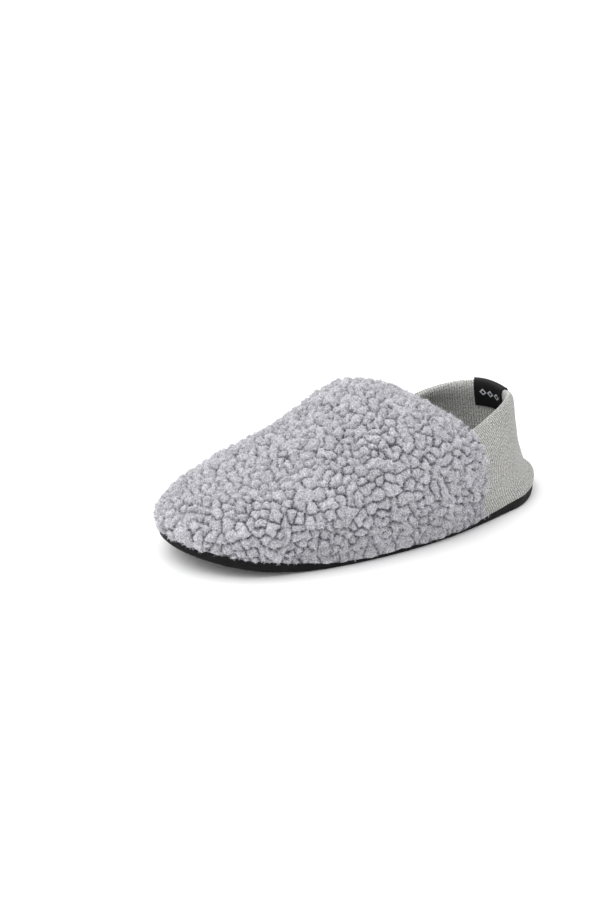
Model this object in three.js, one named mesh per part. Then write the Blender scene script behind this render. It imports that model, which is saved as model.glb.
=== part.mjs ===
// A house slipper for the left foot: curly pile vamp, knitted heel cuff, flat black sole.
// Millimetres. X points to the outer side of the foot, Y from the toe to the heel, Z up.
// The origin is on the floor, midway between the tip of the sole and the back of its heel.
import * as THREE from "three";
import { mergeVertices } from "three/addons/utils/BufferGeometryUtils.js";

// Driving dimensions
const SOLE_LENGTH = 265;
const SOLE_THICKNESS = 7.5;
const SOLE_EDGE_ROUND = 1.6;
const TOE_SPRING = 14; // rise of the sole's tip above the floor
const TOE_SPRING_FROM = 0.68; // share of the length at which the sole leaves the floor
const HEEL_LIFT = 2; // rise of the sole's back edge
const HEEL_LIFT_TO = 0.1;
const CLEARANCE = 0.3; // between pieces that touch in the real slipper

const CLOTH = 2.5; // backing and lining of the vamp, and the doubled knit of the cuff
const PILE = 3; // mean height of the curly pile above its backing
const CURL = 1; // height of the curls above and below that mean
const RIM_THICKNESS = 4.6; // folded top edge of the cuff
const SEAT_INSET = 1.5; // the upper's foot, in from the sole's edge

const INSOLE_INSET = 7;
const INSOLE_THICKNESS = 5;
const INSOLE_ROUND = 1.4;

const LABEL_WIDTH = 20;
const LABEL_MIDDLE = -9; // X of its middle, towards the inner side of the foot
const LABEL_LEG = 17; // length of each leg, inside and outside the rim
const LABEL_THICKNESS = 0.8;

// The sole, a row for each section. at is the share of the length from the heel's back,
// half the half width, shift the middle's distance to the outer side.
const SOLE = [
  { at: 0, half: 30.5, shift: 0 },
  { at: 0.14, half: 40.2, shift: 0 },
  { at: 0.42, half: 47.2, shift: 6.6 },
  { at: 0.66, half: 49.8, shift: 1.5 },
  { at: 0.86, half: 45.4, shift: -5.6 },
  { at: 1, half: 35.8, shift: -8.1 },
];
// Rounded ends of the sole and the shoulder, as super-ellipses
const HEEL_END = { share: 0.14, power: 2 };
const TOE_END = { share: 0.18, power: 2.3 };

// The widest line of the upper and the arch above it. out is how far the line lies outside the
// sole's edge, height its height, ridge that of the arch's middle, middle its X, and outer and
// inner tell how boxy the arch is on each side of it.
const VAMP = [
  { at: 0.15, out: 1, height: 26, ridge: 60, middle: 0, outer: 3, inner: 3.8 },
  { at: 0.3, out: 1.5, height: 28, ridge: 65.8, middle: -2, outer: 3.2, inner: 4 },
  { at: 0.4, out: 2, height: 30, ridge: 80, middle: -8.5, outer: 2.7, inner: 3 },
  { at: 0.5, out: 2, height: 32, ridge: 85.2, middle: -12, outer: 2, inner: 2.5 },
  { at: 0.62, out: 2, height: 33, ridge: 70, middle: -8, outer: 2, inner: 2.3 },
  { at: 0.75, out: 1.2, height: 32, ridge: 55.5, middle: -7, outer: 2, inner: 2.1 },
  { at: 0.88, out: -0.2, height: 27, ridge: 42.8, middle: -3.5, outer: 2.1, inner: 2.1 },
  { at: 1, out: -0.2, height: 25, ridge: 35.8, middle: -8.1, outer: 2.1, inner: 2.1 },
];
// How the ridge rounds down to the toe, and how far the widest line passes the sole's tip
const TOE_TOP = { share: 0.2, power: 1.9, reach: 0 };
const WALL_ROUND = 2.4; // how fast the side wall swells out to the widest line

// The mouth's corners, where the front edge of the vamp meets the rim of the cuff. outer and
// inner are their X, bow how far the edge's middle lies towards the toe.
const MOUTH = { y: 57.6, outer: 34.3, inner: -34.2, bow: 8.6 };

// The cuff's rim. back and middle are the Y and X of its rearmost point, power how square it is.
// around is 0 at the back of the heel and 1 at a corner.
const RIM_SHAPE = { back: 113.5, middle: 0, power: 1.85 };
const RIM = [
  { around: 0, height: 66.7 },
  { around: 0.35, height: 70 },
  { around: 0.7, height: 67 },
  { around: 1, height: 60.3 },
];
// The cuff at the back of the heel: rise is the share of its height, lean that of its way in
// from the sole's edge to the rim
const HEEL = [
  { row: 0, rise: 0, lean: 0 },
  { row: 0.25, rise: 0.06, lean: -0.04 },
  { row: 0.5, rise: 0.13, lean: 0.22 },
  { row: 0.75, rise: 0.21, lean: 0.35 },
  { row: 1, rise: 0.3, lean: 0.47 },
  { row: 1.25, rise: 0.43, lean: 0.6 },
  { row: 1.5, rise: 0.61, lean: 0.72 },
  { row: 2, rise: 1, lean: 1 },
];
const HEEL_TURN = 0.35; // outline angle up to which the heel's own shape holds
// Outline angle of the seam between vamp and cuff, from the sole up to the widest line
const SEAM = [
  { row: 0, angle: 1.06 },
  { row: 0.5, angle: 1.11 },
  { row: 1, angle: 1.085 },
];

// Fineness of the meshes
const VAMP_RINGS = 46;
const ARCH_POINTS = 26;
const CUFF_COLUMNS = 32;
const WALL_ROWS = 6;
const SOLE_STEPS = 36;
const LABEL_COLUMNS = 8;

// Value of a table's column at x: a smooth curve through the rows
function read(table, key, column, x) {
  const last = table.length - 1;
  const at = Math.min(Math.max(x, table[0][key]), table[last][key]);
  let k = 0;
  while (k < last - 1 && at > table[k + 1][key]) k++;
  const rate = (i) =>
    (table[i + 1][column] - table[i][column]) / (table[i + 1][key] - table[i][key]);
  const slope = (i) => {
    if (i === 0) return rate(0);
    if (i === last) return rate(last - 1);
    const before = table[i][key] - table[i - 1][key];
    const after = table[i + 1][key] - table[i][key];
    return (rate(i - 1) * after + rate(i) * before) / (before + after);
  };
  const width = table[k + 1][key] - table[k][key];
  const t = (at - table[k][key]) / width;
  const rest = 1 - t;
  return (
    rest * rest * (1 + 2 * t) * table[k][column] +
    t * t * (3 - 2 * t) * table[k + 1][column] +
    width * t * rest * (rest * slope(k) - t * slope(k + 1))
  );
}

const smooth = (t) => {
  const c = Math.min(Math.max(t, 0), 1);
  return c * c * (3 - 2 * c);
};
const lerp = (a, b, t) => a + (b - a) * t;

// 1 away from an end, falling to 0 at it along a super-ellipse. fromEnd is a share of the length.
function roundEnd(fromEnd, end) {
  const inward = Math.min(Math.max(fromEnd / end.share, 0), 1);
  return Math.pow(1 - Math.pow(1 - inward, end.power), 1 / end.power);
}

// An outline angle is 0 at the back of the heel, positive to the outer side, and PI at the tip.
const stationOf = (angle) => (1 - Math.cos(angle)) / 2;
const yAt = (station) => (0.5 - station) * SOLE_LENGTH;
const sideOf = (angle) => (Math.sin(angle) < 0 ? -1 : 1);

function soleOutline(angle) {
  const s = stationOf(angle);
  const half = read(SOLE, "at", "half", s) * roundEnd(s, HEEL_END) * roundEnd(1 - s, TOE_END);
  return new THREE.Vector2(read(SOLE, "at", "shift", s) + sideOf(angle) * half, yAt(s));
}

// Unit vector in plan that points away from the outline's inside
function outward(angle) {
  const step = 0.01;
  const along = soleOutline(angle + step).sub(soleOutline(angle - step)).normalize();
  return new THREE.Vector2(-along.y, along.x);
}

// Height of the sole's underside at y
function underside(y) {
  const s = 0.5 - y / SOLE_LENGTH;
  const toe = Math.max((s - TOE_SPRING_FROM) / (1 - TOE_SPRING_FROM), 0);
  const heel = Math.max((HEEL_LIFT_TO - s) / HEEL_LIFT_TO, 0);
  return TOE_SPRING * toe * toe + HEEL_LIFT * heel * heel;
}
const soleTop = (y) => underside(y) + SOLE_THICKNESS;

// The widest line's point at an outline angle
function widest(angle) {
  const s = stationOf(angle);
  const half = read(SOLE, "at", "half", s) + read(VAMP, "at", "out", s);
  const x = read(SOLE, "at", "shift", s) + sideOf(angle) * half * roundEnd(1 - s, TOE_END);
  return new THREE.Vector3(x, yAt(s) - TOE_TOP.reach * smooth(2 * s - 1), read(VAMP, "at", "height", s));
}

// Height of the arch over a point inside the widest line
function archHeight(x, y) {
  let s = 0.5 - y / SOLE_LENGTH;
  for (let i = 0; i < 3; i++) s = 0.5 - (y + TOE_TOP.reach * smooth(2 * s - 1)) / SOLE_LENGTH;
  const half = read(SOLE, "at", "half", s) + read(VAMP, "at", "out", s);
  const off = read(VAMP, "at", "middle", s) - read(SOLE, "at", "shift", s);
  const cap = roundEnd(1 - s, TOE_END);
  const across = x - read(SOLE, "at", "shift", s) - off * cap;
  const reach = Math.max((half - Math.sign(across) * off) * cap, 1e-6);
  const base = read(VAMP, "at", "height", s);
  const rise = (read(VAMP, "at", "ridge", s) - base) * roundEnd(1 - s, TOE_TOP);
  const power = read(VAMP, "at", across > 0 ? "outer" : "inner", s);
  const share = Math.min(Math.abs(across) / reach, 1);
  return base + rise * Math.pow(1 - Math.pow(share, power), 1 / power);
}

// Outline angle of the seam at a row, on the outer side
const seamAngle = (row) => read(SEAM, "row", "angle", row);

// The cuff's top edge; around runs from -1 at the inner corner to 1 at the outer one
function rim(around) {
  const turn = (around * Math.PI) / 2;
  const side = Math.abs(Math.sin(turn));
  const reach = Math.pow(
    Math.pow(side, RIM_SHAPE.power) + Math.pow(Math.cos(turn), RIM_SHAPE.power),
    -1 / RIM_SHAPE.power,
  );
  const backward = reach * Math.cos(turn);
  const middle = lerp((MOUTH.outer + MOUTH.inner) / 2, RIM_SHAPE.middle, backward);
  const half = (MOUTH.outer - MOUTH.inner) / 2;
  const x = middle + half * reach * Math.sin(turn);
  const y = lerp(MOUTH.y, RIM_SHAPE.back, backward);
  return new THREE.Vector3(x, y, read(RIM, "around", "height", Math.abs(around)));
}

// The vamp's front edge at the mouth, share 0 at the outer corner and 1 at the inner one
function mouthEdge(share) {
  const across = 2 * share - 1;
  const x = lerp(MOUTH.outer, MOUTH.inner, share);
  const y = MOUTH.y - MOUTH.bow * (1 - across * across);
  return new THREE.Vector3(x, y, archHeight(x, y));
}

// The side wall of the upper at an outline angle, row 0 at the sole and 1 at the widest line
function wall(angle, row) {
  const wide = widest(angle);
  const foot = soleOutline(angle).addScaledVector(outward(angle), -SEAT_INSET);
  const swell = 1 - Math.pow(1 - row, WALL_ROUND);
  return new THREE.Vector3(
    lerp(foot.x, wide.x, swell),
    lerp(foot.y, wide.y, swell),
    lerp(soleTop(foot.y) + CLEARANCE, wide.z, row),
  );
}

// The cuff's cloth surface. row runs on from 1 at the widest line to 2 at the rim.
function cuffAt(angle, row) {
  if (row <= 1) return heeled(wall(angle, row), angle, row);
  const edge = rim(angle / seamAngle(1));
  const wide = widest(angle);
  const over = 1 - Math.cos(((row - 1) * Math.PI) / 2);
  const x = lerp(wide.x, edge.x, over);
  const y = lerp(wide.y, edge.y, over);
  const settle = (edge.z - archHeight(edge.x, edge.y)) * over;
  return heeled(new THREE.Vector3(x, y, archHeight(x, y) + settle), angle, row);
}

// The vamp's top. along is 0 at the seam and the mouth and 1 at the toe, across 0 on the outer
// and 1 on the inner side.
function archAt(along, across) {
  const angle = lerp(seamAngle(1), Math.PI, along);
  const share = (1 - Math.cos(Math.PI * across)) / 2;
  const outer = widest(angle);
  const inner = widest(-angle);
  const x = lerp(outer.x, inner.x, share);
  const y = outer.y - mouthSetback(share) * Math.pow(1 - along, 1.5);
  return new THREE.Vector3(x, y, archHeight(x, y));
}

// How far towards the toe the vamp's edge lies from the seams' feet, at a share of the way across
function mouthSetback(share) {
  const outer = widest(seamAngle(1));
  const inner = widest(-seamAngle(1));
  const x = lerp(outer.x, inner.x, share);
  if (x > MOUTH.outer) return ((outer.y - MOUTH.y) * (outer.x - x)) / (outer.x - MOUTH.outer);
  if (x < MOUTH.inner) return ((inner.y - MOUTH.y) * (x - inner.x)) / (MOUTH.inner - inner.x);
  return outer.y - mouthEdge((MOUTH.outer - x) / (MOUTH.outer - MOUTH.inner)).y;
}

// Turns a point of the upper into the heel's own shape near the back
function heeled(point, angle, row) {
  const seam = seamAngle(1);
  const share = 1 - smooth((Math.abs(angle) - HEEL_TURN) / (seam - HEEL_TURN));
  if (Math.abs(angle) > seam || share === 0) return point;
  const foot = soleOutline(angle).addScaledVector(outward(angle), -SEAT_INSET);
  const edge = rim(angle / seam);
  const lean = read(HEEL, "row", "lean", row);
  const rise = read(HEEL, "row", "rise", row);
  const heel = new THREE.Vector3(
    lerp(foot.x, edge.x, lean),
    lerp(foot.y, edge.y, lean),
    lerp(soleTop(foot.y) + CLEARANCE, edge.z, rise),
  );
  return point.lerp(heel, share);
}

// Unit normal of a surface that turns its outside to the cross product of its two directions
function normalOf(surface, u, v, low, high) {
  const step = 0.004;
  const [u0, u1] = [Math.max(u - step, low[0]), Math.min(u + step, high[0])];
  const [v0, v1] = [Math.max(v - step, low[1]), Math.min(v + step, high[1])];
  const first = surface(u1, v).sub(surface(u0, v));
  const second = surface(u, v1).sub(surface(u, v0));
  return second.cross(first).normalize();
}

// A point of the upper with its normal, which is level along the sole
function cuffSpot(angle, row) {
  const seam = seamAngle(Math.min(row, 1));
  const normal = normalOf(cuffAt, angle, row, [-seam, 0], [seam, 2]);
  return { point: cuffAt(angle, row), normal: row === 0 ? normal.setZ(0).normalize() : normal };
}

function wallSpot(angle, row) {
  const normal = normalOf(wall, angle, row, [-Infinity, 0], [Infinity, 1]);
  return { point: wall(angle, row), normal: row === 0 ? normal.setZ(0).normalize() : normal };
}

function archSpot(along, across) {
  if (along === 1) return wallSpot(Math.PI, 1);
  return {
    point: archAt(along, across),
    normal: normalOf(archAt, along, across, [0, 0], [0.998, 1]),
  };
}

// Height of one curl of the pile over the mean, for a crossing of the vamp's grid. Curls stand
// at every second crossing, with hollows between them.
function curl(ring, place) {
  const wave = Math.sin(ring * 12.9898 + place * 78.233) * 43758.5453;
  const chance = wave - Math.floor(wave);
  return CURL * ((ring + place) % 2 === 0 ? 0.7 + 0.6 * chance : -0.6 - 0.8 * chance);
}

// A closed solid from rings that all hold the same number of points. Each ring is a loop whose
// first half runs up the outside and second half back down the inside. The diagonals of the faces
// join the hollows between the curls, so that each curl stands alone. folded tells that the last
// ring lies flat on itself and needs no end face.
function solidFromRings(rings, folded) {
  const size = rings[0].length;
  const faces = [];
  const quad = (a, b, c, d) => faces.push([a, b, c], [a, c, d]);
  for (let i = 0; i < rings.length - 1; i++) {
    const here = i * size;
    const next = here + size;
    for (let j = 0; j < size; j++) {
      const k = (j + 1) % size;
      if ((i + j) % 2 === 0) quad(next + j, next + k, here + k, here + j);
      else quad(here + j, next + j, next + k, here + k);
    }
  }
  const end = (rings.length - 1) * size;
  for (let j = 0; j < size / 2 - 1; j++) {
    const far = size - 1 - j;
    quad(j, j + 1, far - 1, far);
    if (!folded) quad(end + far, end + far - 1, end + j + 1, end + j);
  }
  return toGeometry(rings.flat(), faces);
}

// Joins equal corners, drops faces without area and turns the faces outwards
function toGeometry(corners, faces) {
  const loose = new THREE.BufferGeometry();
  loose.setAttribute(
    "position",
    new THREE.Float32BufferAttribute(corners.flatMap((p) => [p.x, p.y, p.z]), 3),
  );
  loose.setIndex(faces.flat());
  const geometry = mergeVertices(loose, 1e-3);
  const index = geometry.index.array;
  const kept = [];
  for (let i = 0; i < index.length; i += 3) {
    const [a, b, c] = [index[i], index[i + 1], index[i + 2]];
    if (a !== b && b !== c && c !== a) kept.push([a, b, c]);
  }
  const spot = (i) => new THREE.Vector3().fromBufferAttribute(geometry.attributes.position, i);
  const volume = kept.reduce(
    (sum, [a, b, c]) => sum + spot(a).dot(spot(b).cross(spot(c))),
    0,
  );
  if (volume < 0) kept.forEach((face) => face.reverse());
  geometry.setIndex(kept.flat());
  geometry.computeVertexNormals();
  return geometry;
}

// Rows of the upper from the sole to the widest line, and on to the rim of the cuff
const wallRows = Array.from({ length: WALL_ROWS }, (_, i) => i / WALL_ROWS);
const cuffRows = [1, 1.15, 1.3, 1.45, 1.6, 1.75, 1.88, 1.95, 1.985, 2];

// The upper's foot follows the top of the sole
function seated(point, atSole) {
  if (atSole) point.z = soleTop(point.y) + CLEARANCE;
  return point;
}

// A ring of a hollow piece: along the outside of its spots and back on their inside. Each spot
// has its distances out and back from the cloth surface.
function ringOf(spots) {
  const shifted = ({ point, normal, atSole }, by) =>
    seated(point.clone().addScaledVector(normal, by), atSole);
  const outside = spots.map((spot) => shifted(spot, spot.out));
  const inside = spots.map((spot) => shifted(spot, -spot.back));
  return [...outside, ...inside.reverse()];
}

// Half of the gap at the seam, as an outline angle
const SEAM_GAP = CLEARANCE / SOLE_LENGTH;

// Curly vamp: cloth below, pile above, open to the sole, the mouth and the cuff
function vamp() {
  const rings = [];
  for (let i = 0; i <= VAMP_RINGS; i++) {
    const along = i / VAMP_RINGS;
    const side = (sign) =>
      wallRows.map((row) => {
        const angle = lerp(seamAngle(row) + SEAM_GAP, Math.PI, along);
        return { ...wallSpot(sign * angle, row), atSole: row === 0 };
      });
    const top = Array.from({ length: ARCH_POINTS + 1 }, (_, k) =>
      archSpot(i === 0 ? SEAM_GAP / 2 : along, k / ARCH_POINTS),
    );
    const spots = [...side(1), ...top, ...side(-1).reverse()];
    spots.forEach((spot, k) => {
      const free = i > 0 && i < VAMP_RINGS && !spot.atSole;
      const lip = i === 0 && k > WALL_ROWS + 4 && k < WALL_ROWS + ARCH_POINTS - 4;
      spot.out = lip ? 0.45 * PILE : PILE + (free ? curl(i, k) : 0);
      spot.back = lip ? 0.6 * CLOTH : CLOTH;
    });
    rings.push(ringOf(spots));
  }
  return solidFromRings(rings, true);
}

// The cuff's two faces: they part into a thick fold below the rim and meet in a round edge.
// more is what lies on top of them.
function cuffThick(row, more) {
  const fold = (RIM_THICKNESS - CLOTH) * smooth((row - 1.55) / 0.3);
  const edge = Math.sqrt(1 - 0.85 * Math.pow(Math.max((row - 1.88) / 0.12, 0), 2));
  const middle = (CLOTH + 0.4 * fold) / 2;
  const half = edge * ((CLOTH + fold) / 2);
  return { out: half - middle + more, back: half + middle + more };
}

// Knitted heel cuff
function cuff() {
  const rings = [];
  for (let i = 0; i <= CUFF_COLUMNS; i++) {
    const share = (2 * i) / CUFF_COLUMNS - 1;
    const spots = [...wallRows, ...cuffRows].map((row) => {
      const angle = share * (seamAngle(Math.min(row, 1)) - SEAM_GAP);
      return { ...cuffSpot(angle, row), ...cuffThick(row, 0), atSole: row === 0 };
    });
    rings.push(ringOf(spots));
  }
  return solidFromRings(rings, false);
}

// Outline angle at which the rim lies x to the outer side of its rearmost point
function angleAcross(x) {
  let low = -1;
  let high = 1;
  for (let i = 0; i < 30; i++) {
    const half = (low + high) / 2;
    if (rim(half).x - RIM_SHAPE.middle < x) low = half;
    else high = half;
  }
  return low * seamAngle(1);
}

// Woven label folded over the rim at the back of the heel, with a leg on each side of it
function label() {
  const rings = [];
  const ends = [-0.5, 0.5].map((share) => angleAcross(LABEL_MIDDLE + share * LABEL_WIDTH));
  const perRow = 0.8 * (rim(0).z - wall(0, 0).z); // length of the cuff's last row at the heel
  const rows = cuffRows.map((row) => 2 - ((2 - row) * LABEL_LEG) / perRow);
  for (let i = 0; i <= LABEL_COLUMNS; i++) {
    const angle = lerp(ends[0], ends[1], i / LABEL_COLUMNS);
    const wrap = (more) => {
      const ring = ringOf(rows.map((row) => ({ ...cuffSpot(angle, row), ...cuffThick(row, more) })));
      const top = ring.slice(rows.length - 1, rows.length + 1);
      top.forEach((point) => point.setZ(point.z + more));
      return ring;
    };
    const under = wrap(CLEARANCE);
    const over = wrap(CLEARANCE + LABEL_THICKNESS);
    rings.push([...over, ...under.reverse()]);
  }
  return solidFromRings(rings, false);
}

// Flat slab that follows the sole's outline, drawn in by inset, between two surfaces
function slab(inset, round, bottom, top) {
  const layers = [
    { inset: inset + round, height: 0 },
    { inset: inset + 0.3 * round, height: 0.3 },
    { inset, height: 1 },
  ];
  const ring = (angle) => {
    const away = outward(angle);
    const edge = soleOutline(angle);
    const level = (layer, up) => {
      const spot = edge.clone().addScaledVector(away, -layer.inset);
      const rise = layer.height * round;
      return new THREE.Vector3(
        spot.x,
        spot.y,
        up ? top(spot.y) - rise : bottom(spot.y) + rise,
      );
    };
    return [
      ...layers.map((layer) => level(layer, false)),
      ...layers.toReversed().map((layer) => level(layer, true)),
    ];
  };
  const rings = [];
  for (let i = 0; i < 2 * SOLE_STEPS; i++) rings.push(ring((i * Math.PI) / SOLE_STEPS));
  return closeSlab(rings);
}

// The slab's rim from its rings, and its faces as strips from the inner to the outer side
function closeSlab(rings) {
  const size = rings[0].length;
  const count = rings.length;
  const faces = [];
  const quad = (a, b, c, d) => faces.push([a, b, c], [a, c, d]);
  for (let i = 0; i < count; i++) {
    const here = i * size;
    const next = ((i + 1) % count) * size;
    for (let j = 0; j < size - 1; j++) quad(here + j, next + j, next + j + 1, here + j + 1);
  }
  for (let i = 0; i < count / 2; i++) {
    const near = i * size;
    const far = (i + 1) * size;
    const nearMirror = ((count - i) % count) * size;
    const farMirror = (count - i - 1) * size;
    quad(near, nearMirror, farMirror, far);
    quad(far + size - 1, farMirror + size - 1, nearMirror + size - 1, near + size - 1);
  }
  return toGeometry(rings.flat(), faces);
}

const outsole = () => slab(0, SOLE_EDGE_ROUND, underside, soleTop);
const insole = () =>
  slab(
    INSOLE_INSET,
    INSOLE_ROUND,
    (y) => soleTop(y) + CLEARANCE,
    (y) => soleTop(y) + CLEARANCE + INSOLE_THICKNESS,
  );

const MATERIALS = {
  pile: { color: 0xb4b4ba, roughness: 0.95, metalness: 0 },
  knit: { color: 0xbdbfb8, roughness: 0.9, metalness: 0 },
  sole: { color: 0x16161a, roughness: 0.8, metalness: 0 },
  footbed: { color: 0xa9aaa8, roughness: 0.95, metalness: 0 },
  label: { color: 0x101014, roughness: 0.6, metalness: 0 },
};

function piece(name, geometry, finish) {
  const mesh = new THREE.Mesh(geometry, new THREE.MeshStandardMaterial(MATERIALS[finish]));
  mesh.name = name;
  return mesh;
}

const slipper = new THREE.Group();
slipper.add(
  piece("outsole", outsole(), "sole"),
  piece("insole", insole(), "footbed"),
  piece("vamp", vamp(), "pile"),
  piece("heel_cuff", cuff(), "knit"),
  piece("label", label(), "label"),
);

export default slipper;
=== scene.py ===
"""A house slipper for the left foot, dressed: curly pile vamp, knitted heel cuff, flat dark sole.

Sizes are in millimetres until a mesh is made. X points to the outer side of the foot, Y from the
toe to the heel and Z up, as in the part itself.
"""

import logging
import math
from collections.abc import Callable, Sequence
from dataclasses import dataclass, field
from enum import Enum
from typing import Any, ClassVar, Optional

import bmesh
import bpy
import numpy as np
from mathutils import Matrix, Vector
from mathutils.kdtree import KDTree

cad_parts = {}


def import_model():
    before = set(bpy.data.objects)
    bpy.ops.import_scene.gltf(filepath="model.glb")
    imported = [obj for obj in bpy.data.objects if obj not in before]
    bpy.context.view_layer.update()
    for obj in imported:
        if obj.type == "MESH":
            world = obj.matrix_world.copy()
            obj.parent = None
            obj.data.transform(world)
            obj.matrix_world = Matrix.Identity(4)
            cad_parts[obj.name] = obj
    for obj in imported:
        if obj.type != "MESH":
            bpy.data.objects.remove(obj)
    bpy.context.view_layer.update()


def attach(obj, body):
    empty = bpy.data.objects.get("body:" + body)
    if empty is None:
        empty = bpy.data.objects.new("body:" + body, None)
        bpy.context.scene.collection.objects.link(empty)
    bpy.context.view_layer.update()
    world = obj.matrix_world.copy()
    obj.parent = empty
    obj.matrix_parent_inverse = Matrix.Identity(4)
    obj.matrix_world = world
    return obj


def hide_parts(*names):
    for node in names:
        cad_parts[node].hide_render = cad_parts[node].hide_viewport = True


LOG = logging.getLogger("slipper")
MM = 0.001
Array = np.ndarray
Look = tuple[Any, Any, Any]


class Slot(Enum):
    """The part's material slots."""

    SOLE = "sole"
    FOOTBED = "footbed"
    PILE = "pile"
    KNIT = "knit"
    LABEL = "label"


# Numbers and curves


def smooth(t: Array) -> Array:
    """Smooth step from 0 to 1."""
    c = np.clip(t, 0.0, 1.0)
    return c * c * (3.0 - 2.0 * c)


def lerp(a: Array, b: Array, t: Array) -> Array:
    """The point at share t of the way from a to b."""
    return a + (b - a) * t


def unit(v: Array) -> Array:
    """Vectors scaled to length 1."""
    return v / np.maximum(np.linalg.norm(v, axis=-1, keepdims=True), 1e-9)


def levelled(normals: Array) -> Array:
    """Normals turned level."""
    return unit(normals * np.array([1.0, 1.0, 0.0]))


def raised(plan: Array, height: Array) -> Array:
    """Points at a height over places in plan."""
    return np.concatenate([plan, height[..., None]], axis=-1)


class Curve:
    """A smooth curve through the rows of a short table."""

    def __init__(self, keys: Sequence[float], values: Sequence[float]) -> None:
        """Keeps the rows and works out the slope at each.

        Args:
            keys: where the rows stand, rising.
            values: the value at each row.
        """
        self.keys = np.array(keys, float)
        self.values = np.array(values, float)
        widths = np.diff(self.keys)
        rates = np.diff(self.values) / widths
        inner = (rates[:-1] * widths[1:] + rates[1:] * widths[:-1]) / (widths[:-1] + widths[1:])
        self.slopes = np.concatenate([rates[:1], inner, rates[-1:]])

    def __call__(self, at: Array) -> Array:
        """The curve's value, held constant past its ends.

        Args:
            at: where to read it.

        Returns:
            One value for each place.
        """
        x = np.clip(at, self.keys[0], self.keys[-1])
        k = np.clip(np.searchsorted(self.keys, x, side="left") - 1, 0, len(self.keys) - 2)
        width = self.keys[k + 1] - self.keys[k]
        t = (x - self.keys[k]) / width
        rest = 1.0 - t
        ends = rest * rest * (1 + 2 * t) * self.values[k] + t * t * (3 - 2 * t) * self.values[k + 1]
        return ends + width * t * rest * (rest * self.slopes[k] - t * self.slopes[k + 1])


def curves(head: str, rows: Sequence[Sequence[float]]) -> dict[str, Curve]:
    """Named curves from a table whose first column is the key.

    Args:
        head: the columns' names, with the key's first.
        rows: the table.

    Returns:
        A curve for each column after the first.
    """
    names = head.split()
    columns = list(zip(*rows))
    return {name: Curve(columns[0], column) for name, column in zip(names[1:], columns[1:])}


def round_end(from_end: Array, share: float, power: float) -> Array:
    """1 away from an end, falling to 0 at it along a super-ellipse."""
    inward = np.clip(from_end / share, 0.0, 1.0)
    return np.maximum(1.0 - (1.0 - inward) ** power, 0.0) ** (1.0 / power)


def hashed(cells: Array, seed: int) -> Array:
    """A chance number from 0 to 1 for each whole-numbered cell.

    Args:
        cells: the cells' three numbers.
        seed: picks another set.

    Returns:
        One number for each cell.
    """
    c = cells.astype(np.int64)
    h = (c[..., 0] * 73856093) ^ (c[..., 1] * 19349663) ^ (c[..., 2] * 83492791) ^ (seed * 2654435761)
    h = (h ^ (h >> 13)) * 1274126177
    h = (h ^ (h >> 16)) & 0xFFFFFF
    return h / float(0xFFFFFF)


def noise(points: Array, size: float, seed: int) -> Array:
    """Smooth noise from -1 to 1 in space.

    Args:
        points: where to read it, in millimetres.
        size: the width of its lumps.
        seed: picks another pattern.

    Returns:
        One value for each point.
    """
    p = points / size
    cell = np.floor(p)
    f = p - cell
    f = f * f * (3.0 - 2.0 * f)
    total = np.zeros(points.shape[:-1])
    for corner in np.ndindex(2, 2, 2):
        step = np.array(corner)
        weight = np.prod(np.where(step == 1, f, 1.0 - f), axis=-1)
        total += weight * hashed(cell + step, seed)
    return 2.0 * total - 1.0


def noise_vector(points: Array, size: float, seed: int) -> Array:
    """Three independent smooth noises."""
    return np.stack([noise(points, size, seed + k) for k in range(3)], axis=-1)


# The shape


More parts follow.
